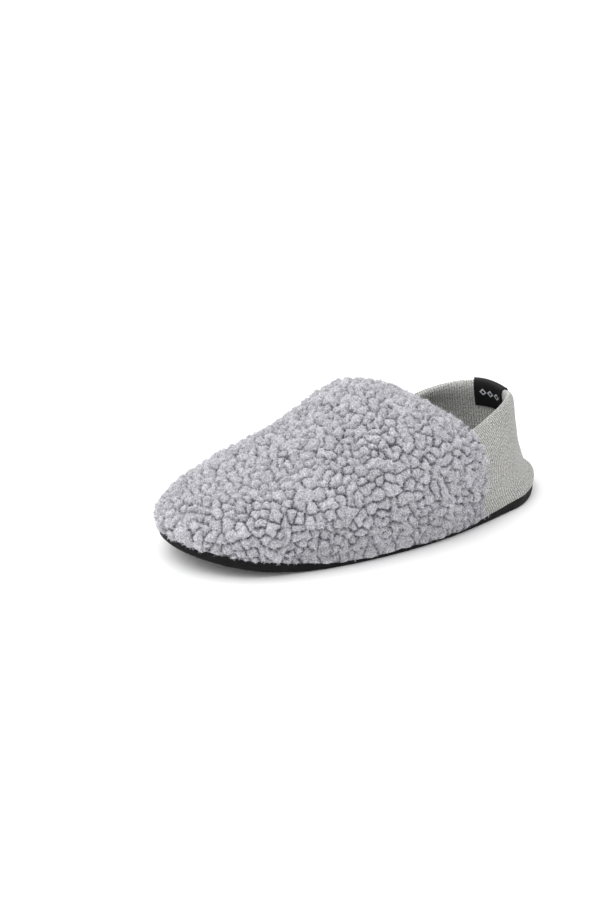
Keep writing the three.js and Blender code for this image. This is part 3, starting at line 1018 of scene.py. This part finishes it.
@dataclass
class Vamp:
    """The curly pile front, with its lining."""

    rings: int = 288
    wall_points: int = 36
    arch_points: int = 226
    roll_rows: int = 8
    foot_rows: int = 8
    nub: float = 5.0
    nub_spread: float = 1.3
    nub_tries: int = 14000
    cell: float = 6.5
    border: float = 4.8
    hollow: float = 2.6
    taller: float = 1.2
    hang_least: float = 0.5
    hang_more: float = 4.9
    tallest_hanging: float = 4.2
    seed: int = 7
    fibres: int = 60000
    fibre_width: float = 0.22
    fibre_length: tuple[float, float] = (1.0, 2.8)
    fibre_scatter: float = 0.45
    fibre_depth: float = 0.25
    points: Array = field(init=False)
    normals: Array = field(init=False)
    skin: Array = field(init=False)
    spots: Array = field(init=False)
    kinds: Array = field(init=False)

    def surface(self, rings: int, wall: int, arch: int) -> tuple[Array, Array]:
        """The cloth surface over the whole vamp.

        Args:
            rings: steps from the mouth to the toe.
            wall: steps up each side wall.
            arch: steps over the top.

        Returns:
            The points and normals, a ring for each row.
        """
        along = np.linspace(0.0, 1.0, rings + 1)[:, None]
        row = np.linspace(0.0, 1.0, wall + 1)[None, :-1]
        angle = lerp(LAST.seam_angle(row) + LAST.seam_gap, math.pi, along)
        rows = np.broadcast_to(row, angle.shape)
        sides = []
        for sign in (1.0, -1.0):
            spots = LAST.wall(sign * angle, rows)
            facing = normals_of(LAST.wall, sign * angle, rows, (9.0, 1.0))
            facing[:, 0] = levelled(facing[:, 0])
            sides.append((spots, facing))
        over = np.broadcast_to(np.linspace(0.0, 1.0, arch + 1)[None, :], (rings + 1, arch + 1))
        start = np.maximum(np.broadcast_to(along, over.shape), LAST.seam_gap / 2)
        points = LAST.arch(start, over)
        normals = normals_of(LAST.arch, np.minimum(start, 0.995), over, (0.998, 1.0))
        normals[-1] = normals_of(LAST.wall, np.array([math.pi]), np.array([1.0]), (9.0, 1.0))
        outer, inner = sides
        points = np.hstack([outer[0], points, inner[0][:, ::-1]])
        normals = np.hstack([outer[1], normals, inner[1][:, ::-1]])
        return points, normals

    def scatter(self) -> None:
        """Spreads the nubs evenly over the surface, each with its own height, size and tint."""
        chance = np.random.default_rng(self.seed)
        points = self.points[:, ::2]
        flat = points.reshape(-1, 3)
        spans = np.cross(np.gradient(points, axis=0), np.gradient(points, axis=1))
        areas = np.linalg.norm(spans, axis=-1).ravel()
        kept: list[Array] = []
        cells: dict[tuple, list[int]] = {}
        around = [np.array(step) - 1 for step in np.ndindex(3, 3, 3)]
        for pick in chance.choice(len(flat), size=self.nub_tries, p=areas / areas.sum()):
            spot = flat[pick]
            cell = np.floor(spot / self.cell).astype(int)
            gap = self.nub * (0.78 + 0.4 * chance.random())
            near = [kept[k] for step in around for k in cells.get(tuple(cell + step), ())]
            if near and np.min(np.sum((np.array(near) - spot) ** 2, axis=1)) < gap**2:
                continue
            cells.setdefault(tuple(cell), []).append(len(kept))
            kept.append(spot)
        self.spots = np.array(kept)
        self.kinds = chance.random((len(kept), 3))
        LOG.info("nubs: %d", len(kept))

    def relief(self, points: Array) -> tuple[Array, Array, Array]:
        """Height of the pile over the cloth, with its painted shading and tint.

        Args:
            points: points of the cloth surface.

        Returns:
            The height in millimetres, the painted shading from 0 (darkest painted shade) in a hollow to 1
            on top, and the tint.
        """
        warped = points + 1.3 * noise_vector(points, 5.0, 11) + 0.8 * noise_vector(points, 2.4, 21)
        flat = warped.reshape(-1, 3)
        tree = KDTree(len(self.spots))
        for k, spot in enumerate(self.spots):
            tree.insert(spot, k)
        tree.balance()
        size = self.nub_spread * self.kinds[:, 0]
        found = [
            sorted((gap - size[k], k) for _, k, gap in tree.find_n(spot, 5))[:2] for spot in flat
        ]
        gaps = np.array([[pair[0][0], pair[1][0]] for pair in found])
        owners = np.array([[pair[0][1], pair[1][1]] for pair in found])
        kind = self.kinds[owners[:, 0]]
        couple = np.stack([owners.min(axis=1), owners.max(axis=1), owners.sum(axis=1)], axis=-1)
        joined = 0.6 * smooth((hashed(couple, 5) - 0.6) / 0.3)
        border = np.clip((gaps[:, 1] - gaps[:, 0]) / self.border, 0.0, 1.0)
        dome = lerp(1.0 - (1.0 - border) ** 2.2, 1.0, joined * (1.0 - border))
        clumps = 0.5 * noise(flat, 2.1, 31) + 0.4 * noise(flat, 1.25, 41)
        height = 0.5 + dome * (self.hollow + self.taller * kind[:, 1]) + clumps
        height = height + 0.5 * noise(flat, 15.0, 51)
        # Painted shade: 0 in the hollows between the nubs, 1 on their tops; it darkens the colour, not the
        # height.
        depth = np.clip(dome + 0.3 * clumps, 0.0, 1.0)
        shape = points.shape[:-1]
        return height.reshape(shape), depth.reshape(shape), kind[:, 2].reshape(shape)

    def droop(self, angle: Array) -> Array:
        """How far the pile hangs down over the sole's edge."""
        full = self.hang_least + self.hang_more * smooth((2.3 - np.abs(angle)) / 0.55)
        return full * lerp(0.45, 1.0, smooth((np.abs(angle) - LAST.seam_angle(0.0)) / 0.15))

    def build_pile(self) -> None:
        """Makes and dresses the pile sheet, rolled over its free edges."""
        self.points, self.normals = self.surface(self.rings, self.wall_points, self.arch_points)
        self.scatter()
        height, depth, tuft = self.relief(self.points)
        height = self.thinned(height)
        layers = np.dstack([self.points + self.normals * height[..., None], depth, tuft])
        layers = self.roll(height, self.hang(layers))
        self.skin = layers
        # The shading value carries the painted shade of the hollows into the material.
        values = {"depth": layers[..., 3], "tuft": layers[..., 4]}
        piece = grid_object("vamp_pile", layers[..., :3], values=values)
        enrol(piece, "vamp", PILE.material())

    def build_fibres(self) -> None:
        """Makes and dresses the loose ends: short bent strips that stand out of the pile."""
        chance = np.random.default_rng(self.seed + 1)
        grid = self.skin[..., :3]
        spans = np.cross(np.gradient(grid, axis=1), np.gradient(grid, axis=0))
        areas = np.linalg.norm(spans, axis=-1)
        areas[:, : self.foot_rows // 2] = 0.0
        areas[:, -(self.foot_rows // 2) :] = 0.0
        areas[:4] = 0.0
        pick = chance.choice(areas.size, size=self.fibres, p=(areas / areas.sum()).ravel())
        spot = grid.reshape(-1, 3)[pick]
        root = spot + self.fibre_scatter * chance.normal(size=(self.fibres, 3))
        up = unit(spans.reshape(-1, 3)[pick])
        root = root - up * (self.fibre_depth + np.sum((root - spot) * up, axis=1)[:, None])
        length = chance.uniform(*self.fibre_length, (self.fibres, 1))
        lean = unit(0.75 * up + 0.75 * chance.normal(size=up.shape))
        bend = unit(lean + 0.9 * chance.normal(size=up.shape))
        middle = root + lean * length * 0.55
        tip = middle + bend * length * 0.45
        side = unit(np.cross(lean, chance.normal(size=up.shape))) * 0.5 * self.fibre_width
        corners = np.stack([root - side, root + side, middle + side, middle - side, tip], axis=1)
        start = 5 * np.arange(self.fibres)[:, None]
        faces = np.concatenate([start + np.array(tri) for tri in ((0, 1, 2), (0, 2, 3), (3, 2, 4))])
        mesh = bpy.data.meshes.new("pile_fibres")
        mesh.from_pydata((corners.reshape(-1, 3) * MM).tolist(), [], faces.tolist())
        # Each loose end takes the painted shade of the spot where it is rooted.
        depth = np.repeat(self.skin[..., 3].ravel()[pick], 5)
        carry(mesh, {"depth": depth, "tuft": np.repeat(chance.random(self.fibres), 5)})
        piece = bpy.data.objects.new("pile_fibres", mesh)
        bpy.context.collection.objects.link(piece)
        enrol(piece, "vamp", FIBRES.material())

    def thinned(self, height: Array) -> Array:
        """The pile laid lower where it meets the seams and the sole.

        Args:
            height: the pile's height.

        Returns:
            The new height.
        """
        count = height.shape[1]
        edge = np.minimum(np.arange(count), np.arange(count)[::-1]) / self.wall_points
        foot = smooth(edge / 0.15)[None, :]
        seam = smooth(arc_lengths(self.points, 0) / 5.0)
        return height * lerp(0.75, 1.0, foot) * lerp(0.8, 1.0, seam)

    def hang(self, layers: Array) -> Array:
        """Adds the columns that hang over the sole's edge on both sides.

        Args:
            layers: the pile's surface with its painted shading and tint.

        Returns:
            The layers with the added columns.
        """
        rows = np.linspace(0.0, 1.0, self.rings + 1)
        drop = self.droop(lerp(LAST.seam_angle(0.0) + LAST.seam_gap, math.pi, rows))
        sides = []
        for column in (0, -1):
            turn = np.linspace(0.0, math.pi / 2, self.foot_rows)[None, 1:]
            foot, out = self.points[:, column, None], self.normals[:, column, None]
            reach = drop * (1.0 + 0.25 * noise(self.points[:, column], 5.0, 61))
            base = foot - np.array([0.0, 0.0, 1.0]) * (reach[:, None] * np.sin(turn))[..., None]
            tall, depth, tuft = self.relief(base)
            tall = np.minimum(0.85 * tall, self.tallest_hanging)
            away = LAST.ledge + np.maximum(tall - LAST.ledge, 0.3) * np.cos(turn) ** 0.6
            strips = np.hstack([base + out * away[..., None], foot + [0.0, 0.0, 0.05]])
            # Painted shade: the pile darkens as it turns under, over the sole's edge.
            look = np.stack([depth * lerp(1.0, 0.6, np.sin(turn) ** 4), tuft], axis=-1)
            # Painted shade: the last column, tucked under against the sole, is halved.
            look = np.hstack([look, look[:, -1:] * 0.5])
            sides.append(np.dstack([strips, look]))
        return np.hstack([sides[0][:, ::-1], layers, sides[1]])

    def roll(self, height: Array, layers: Array) -> Array:
        """Adds the rows that roll over the edge at the mouth and the seams.

        Args:
            height: the pile's height.
            layers: the pile's surface with its hanging columns, painted shading and tint.

        Returns:
            The layers with the added rows.
        """
        edge, tall = self.points[0], height[0]
        back = unit(edge - self.points[3])
        mouth = smooth((36.5 - np.abs(edge[:, 0])) / 4.0) * (edge[:, 2] > 45)
        turn_end = lerp(1.9, math.pi, mouth)
        reach = lerp(1.0, 1.9, mouth)
        middle, half = (tall - LAST.cloth) / 2, (tall + LAST.cloth) / 2
        count = self.foot_rows
        rows = []
        for k in range(1, self.roll_rows + 1):
            turn = turn_end * k / self.roll_rows
            wave = 1.0 + 0.3 * noise(edge, 4.0, 71) + 0.2 * noise(edge, 1.8, 72 + k)
            up = middle + half * np.cos(turn)
            away = reach * np.sin(turn) * wave
            strip = edge + self.normals[0] * up[:, None] + back * away[:, None]
            before = strip[0] + layers[0, :count, :3] - layers[0, count, :3]
            after = strip[-1] + layers[0, -count:, :3] - layers[0, -count - 1, :3]
            look = layers[0, :, 3:].copy()
            # Painted shade: each row darkens as the pile rolls over and under the edge.
            look[:, 0] *= lerp(0.95, 0.1, k / self.roll_rows)
            rows.append(np.hstack([np.vstack([before, strip, after]), look]))
        return np.vstack([np.stack(rows[::-1]), layers])

    def build_lining(self) -> None:
        """Makes and dresses the lining, on the inner face of the cloth."""
        points, normals = self.surface(110, 12, 90)
        skin = points - normals * (LAST.cloth - 0.1 + 0.25 * noise(points, 26.0, 81))[..., None]
        skin[:, [0, -1], 2] = points[:, [0, -1], 2]
        across = arc_lengths(skin, 1)
        across = across - across[:, across.shape[1] // 2][:, None]
        uv = np.stack([across, arc_lengths(skin, 0)], axis=-1)
        piece = grid_object("vamp_lining", skin, uv=uv, flip=True)
        enrol(piece, "vamp", LINING.material())

    def build(self) -> None:
        """Makes the pile, its loose ends and the lining."""
        self.build_pile()
        self.build_fibres()
        self.build_lining()


@dataclass
class HeelCuff:
    """The doubled knit round the heel, with its folded rim."""

    rim_thickness: float = 4.6
    fold_from: float = 1.55
    turn_from: float = 1.88
    columns: int = 240
    wall_rows: int = 30
    upper_rows: int = 70
    lip_rows: int = 7
    bulge: float = 1.95

    def thick(self, row: Array, more: float) -> tuple[Array, Array]:
        """Distances of the two faces from the cloth surface, with more on top of each.

        Args:
            row: rows from 0 at the sole to 2 at the rim.
            more: thickness on top of the knit.

        Returns:
            The distance outwards and the distance inwards.
        """
        fold = (self.rim_thickness - LAST.cloth) * smooth((row - self.fold_from) / 0.3)
        past = np.maximum((row - self.turn_from) / (2.0 - self.turn_from), 0.0)
        edge = np.sqrt(1.0 - 0.999 * past**2)
        middle = (LAST.cloth + 0.4 * fold) / 2
        half = edge * ((LAST.cloth + fold) / 2)
        return half - middle + more, half + middle + more

    def faces(self, angle: Array, row: Array, more: float) -> tuple[Array, Array, Array]:
        """The outside and the inside over a grid of the cuff.

        Args:
            angle: outline angles.
            row: rows from 0 at the sole to 2 at the rim.
            more: thickness on top of the knit.

        Returns:
            The outside, the inside and the normals.
        """
        points = LAST.cuff(angle, row)
        normals = normals_of(LAST.cuff, angle, row, (9.0, 2.0))
        normals = np.where((row <= 0)[..., None], levelled(normals), normals)
        out, back = self.thick(row, more)
        return points + normals * out[..., None], points - normals * back[..., None], normals

    def rows(self) -> Array:
        """Rows of the fine mesh, close together at the round edge of the rim.

        Returns:
            The rows.
        """
        wall = np.linspace(0.0, 1.0, self.wall_rows + 1)[:-1]
        upper = np.linspace(1.0, self.turn_from, self.upper_rows)
        turn = np.linspace(0.0, math.pi / 2, 9)[1:]
        return np.concatenate([wall, upper, lerp(self.turn_from, 2.0, np.sin(turn))])

    def folds(self, points: Array) -> Array:
        """Gentle slack in the knit."""
        return 0.45 * noise(points, 22.0, 91) + 0.2 * noise(points, 9.0, 92)

    def lip(self, outside: Array, normals: Array, share: Array) -> Array:
        """The soft roll of the knit that hangs over the sole's edge.

        Args:
            outside: the outer face.
            normals: its normals.
            share: places round the heel, from -1 to 1.

        Returns:
            The points to put before the outer face.
        """
        foot, out, upright = outside[:, :1], normals[:, :1], np.array([0.0, 0.0, 1.0])
        turn = np.linspace(math.pi / 2, 0.0, self.lip_rows)[None, :-1]
        reach = 0.4 + 2.1 * smooth((np.abs(share) - 0.7) / 0.3) + 0.15 * noise(foot, 8.0, 93)
        back = (self.bulge - LAST.ledge) * (1.0 - np.cos(turn) ** 0.6)
        roll = foot - upright * (reach * np.sin(turn))[..., None] - out * back[..., None]
        return np.hstack([foot - out * 1.5 + 0.05 * upright, roll])

    def build(self) -> None:
        """Makes and dresses the cuff."""
        row = self.rows()[None, :]
        share = np.linspace(-1.0, 1.0, self.columns + 1)[:, None]
        angle = share * (LAST.seam_angle(row) - LAST.seam_gap)
        rows = np.broadcast_to(row, angle.shape)
        outside, inside, normals = self.faces(angle, rows, 0.0)
        tab = smooth((0.42 - np.abs(angle + 0.22)) / 0.12) * smooth((rows - 1.2) / 0.2)
        free = smooth(rows / 0.3) * smooth((1.0 - np.abs(share)) / 0.12) * (1.0 - tab)
        outside = outside + normals * (free * self.folds(outside))[..., None]
        outside = outside + normals * (self.bulge * smooth((0.4 - rows) / 0.4))[..., None]
        inside = inside + normals * (free * 0.6 * self.folds(inside))[..., None]
        for face in (outside, inside):
            face[:, 0, 2] = LAST.sole_top(face[:, 0, 1]) + LAST.clearance
        middle = arc_lengths(outside, 0)[:, self.wall_rows + self.upper_rows // 2]
        outside = np.hstack([self.lip(outside, normals, share), outside])
        loop = np.hstack([outside, inside[:, ::-1]])
        around = np.repeat((middle - middle[self.columns // 2])[:, None], loop.shape[1], axis=1)
        uv = np.stack([around, arc_lengths(loop, 1)], axis=-1)
        inner = np.arange(loop.shape[1]) >= outside.shape[1]
        # The inside mark gives the knit painted light on its inner face and painted shade on its outer
        # face.
        values = {"inside": np.broadcast_to(inner.astype(float), loop.shape[:2])}
        piece = grid_object("cuff_knit", loop, closed=True, capped=True, uv=uv, values=values)
        enrol(piece, "heel_cuff", KNIT.material())


@dataclass
class WovenTab:
    """The tape folded over the rim at the back of the heel."""

    width: float = 20.0
    middle: float = -9.0
    leg: float = 17.0
    thickness: float = 0.8
    columns: int = 40
    cuff: HeelCuff = field(default_factory=HeelCuff)

    def angle_across(self, x: float) -> float:
        """Outline angle at which the rim lies x to the outer side of its back.

        Args:
            x: distance in millimetres.

        Returns:
            The angle.
        """
        around = np.linspace(-1.0, 1.0, 4001)
        across = LAST.rim(around)[:, 0] - LAST.rim_middle
        return float(np.interp(x, across, around) * LAST.seam_angle(1.0))

    def build(self) -> None:
        """Makes and dresses the tab."""
        ends = [self.angle_across(self.middle + share * self.width) for share in (-0.5, 0.5)]
        per_row = 0.8 * (LAST.rim(np.array(0.0))[2] - LAST.foot(np.array(0.0))[2])
        rows = self.cuff.rows()[self.cuff.wall_rows :]
        rows = 2.0 - (2.0 - rows) * self.leg / per_row
        share = np.linspace(0.0, 1.0, self.columns + 1)[:, None]
        angle = np.broadcast_to(lerp(ends[0], ends[1], share), (self.columns + 1, len(rows)))
        row = np.broadcast_to(rows[None, :], angle.shape)
        layers = []
        for more in (LAST.clearance, LAST.clearance + self.thickness):
            outside, inside, _ = self.cuff.faces(angle, row, more)
            for face in (outside, inside):
                face[..., 2] += more * smooth((row - self.cuff.turn_from) / (2.0 - self.cuff.turn_from))
            layers.append(np.hstack([outside, inside[:, ::-1]]))
        under, over = layers
        loop = np.hstack([over, under[:, ::-1]])
        down = arc_lengths(over, 1)[self.columns // 2]
        down = down - down[len(down) // 2]
        down = np.concatenate([down, down[::-1]])
        around = arc_lengths(over, 0)[:, len(rows)][:, None]
        uv = np.stack(np.broadcast_arrays(around - around.mean(), down[None, :]), axis=-1)
        piece = grid_object("woven_tab", loop, closed=True, capped=True, uv=uv)
        enrol(piece, "label", TAPE.material())


@dataclass
class Slab:
    """A flat layer that follows the sole's outline, drawn in from its edge."""

    name: str
    node: str
    slot: Slot
    finish: Finish
    inset: float
    edge_round: float
    thickness: float
    lift: float
    crown: float = 0.0
    steps: int = 200
    across: int = 24

    def section(self) -> list[tuple[float, float]]:
        """Inset and rise of the rounded edge, from below to above.

        Returns:
            A pair for each level.
        """
        turns = np.linspace(0.0, math.pi / 2, 6)
        low = [(self.edge_round * (1 - math.sin(t)), self.edge_round * (1 - math.cos(t))) for t in turns]
        high = [(inset, self.thickness - rise) for inset, rise in reversed(low)]
        return low + [(0.0, self.thickness / 2)] + high

    def build(self) -> bpy.types.Object:
        """Makes and dresses the slab.

        Returns:
            The object.
        """
        angle = np.linspace(0.0, math.pi, self.steps + 1)
        edges = []
        for sign in (1.0, -1.0):
            spot, away = LAST.sole_outline(sign * angle), LAST.outward(sign * angle)
            levels = []
            for inset, rise in self.section():
                plan = spot - (self.inset + inset) * away
                levels.append(raised(plan, LAST.underside(plan[:, 1]) + self.lift + rise))
            edges.append(np.stack(levels, axis=1))
        outer, inner = edges
        share = np.linspace(0.0, 1.0, self.across + 1)[None, 1:-1, None]
        top = lerp(outer[:, -1:], inner[:, -1:], share)
        bottom = lerp(inner[:, :1], outer[:, :1], share)
        top[..., 2] = LAST.underside(top[..., 1]) + self.lift + self.thickness
        bottom[..., 2] = LAST.underside(bottom[..., 1]) + self.lift
        span = np.minimum(1.0, 4 * np.sin(angle))[:, None]
        top[..., 2] += self.crown * np.sin(math.pi * share[..., 0]) ** 0.6 * span
        loop = np.hstack([outer, top, inner[:, ::-1], bottom])
        loop = loop + 0.06 * noise_vector(loop, 3.0, 101)
        piece = grid_object(self.name, loop, closed=True)
        enrol(piece, self.node, self.finish.material())
        return piece


@dataclass
class Studio:
    """A pale floor, soft lights and the camera at the photograph's place."""

    azimuth: float = 58.54
    elevation: float = 22.72
    distance: float = 1.15839
    focal: float = 66.146
    target: tuple = (-0.11712, 0.02793, 0.0)
    floor_colour: tuple = rgba(246, 246, 246)
    sky: float = 1.08
    key: float = 16.0
    back: float = 2.0
    lamp_distance: float = 1.6

    def aimed(self, data: bpy.types.ID, view: tuple[float, float], far: float, at: tuple) -> Any:
        """Puts a camera or lamp round a point and turns it there.

        Args:
            data: the camera or lamp.
            view: azimuth and elevation of its place, in degrees.
            far: its distance in metres.
            at: the point.

        Returns:
            The object.
        """
        a, e = math.radians(view[0]), math.radians(view[1])
        away = Vector((math.sin(a) * math.cos(e), -math.cos(a) * math.cos(e), math.sin(e)))
        made = bpy.data.objects.new(data.name, data)
        made.location = Vector(at) + far * away
        made.rotation_euler = away.to_track_quat("Z", "Y").to_euler()
        bpy.context.collection.objects.link(made)
        return made

    def build_camera(self) -> None:
        """Sets the camera."""
        data = bpy.data.cameras.new("camera")
        data.sensor_width = 36.0
        data.lens = self.focal
        data.clip_end = 50.0
        view = (self.azimuth, self.elevation)
        bpy.context.scene.camera = self.aimed(data, view, self.distance, self.target)

    def build_floor(self) -> None:
        """Lays the floor."""
        mesh = bpy.data.meshes.new("floor")
        reach = 30.0
        corners = [(-reach, -reach, 0), (reach, -reach, 0), (reach, reach, 0), (-reach, reach, 0)]
        mesh.from_pydata(corners, [], [(0, 1, 2, 3)])
        floor = bpy.data.objects.new("floor", mesh)
        bpy.context.collection.objects.link(floor)
        made = bpy.data.materials.new("pale floor")
        made.use_nodes = True
        shader = made.node_tree.nodes["Principled BSDF"]
        shader.inputs["Base Color"].default_value = self.floor_colour
        shader.inputs["Roughness"].default_value = 0.9
        mesh.materials.append(made)

    def area(self, name: str, view: tuple[float, float], size: float, power: float) -> None:
        """A square soft light, turned to the slipper.

        Args:
            name: its name.
            view: azimuth and elevation of its place, in degrees.
            size: its side in metres.
            power: its power in watts.
        """
        data = bpy.data.lights.new(name, "AREA")
        data.shape = "SQUARE"
        data.size = size
        data.energy = power
        self.aimed(data, view, self.lamp_distance, (0.0, 0.0, 0.0))

    def build_light(self) -> None:
        """Sets the lights and the sky."""
        world = bpy.data.worlds.new("sky")
        bpy.context.scene.world = world
        world.use_nodes = True
        sky = world.node_tree.nodes["Background"]
        sky.inputs[0].default_value = (1.0, 1.0, 1.0, 1.0)
        sky.inputs[1].default_value = self.sky
        self.area("key light", (-8.0, 60.0), 1.4, self.key)
        self.area("back light", (200.0, 50.0), 1.2, self.back)

    def build(self) -> None:
        """Sets the whole studio."""
        self.build_camera()
        self.build_floor()
        self.build_light()
        bpy.context.scene.view_settings.view_transform = "Standard"


def main() -> None:
    """Builds the slipper and its studio."""
    logging.basicConfig(level=logging.INFO, format="%(message)s")
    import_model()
    Studio().build()
    Slab("outsole_foam", "outsole", Slot.SOLE, RUBBER, 0.0, 1.6, 7.5, 0.0).build()
    pad = Slab("insole_pad", "insole", Slot.FOOTBED, FOOTBED, 7.0, 1.8, 5.0, 7.8, crown=0.8)
    pad.build()
    Vamp().build()
    HeelCuff().build()
    WovenTab().build()


if __name__ == "__main__":
    main()
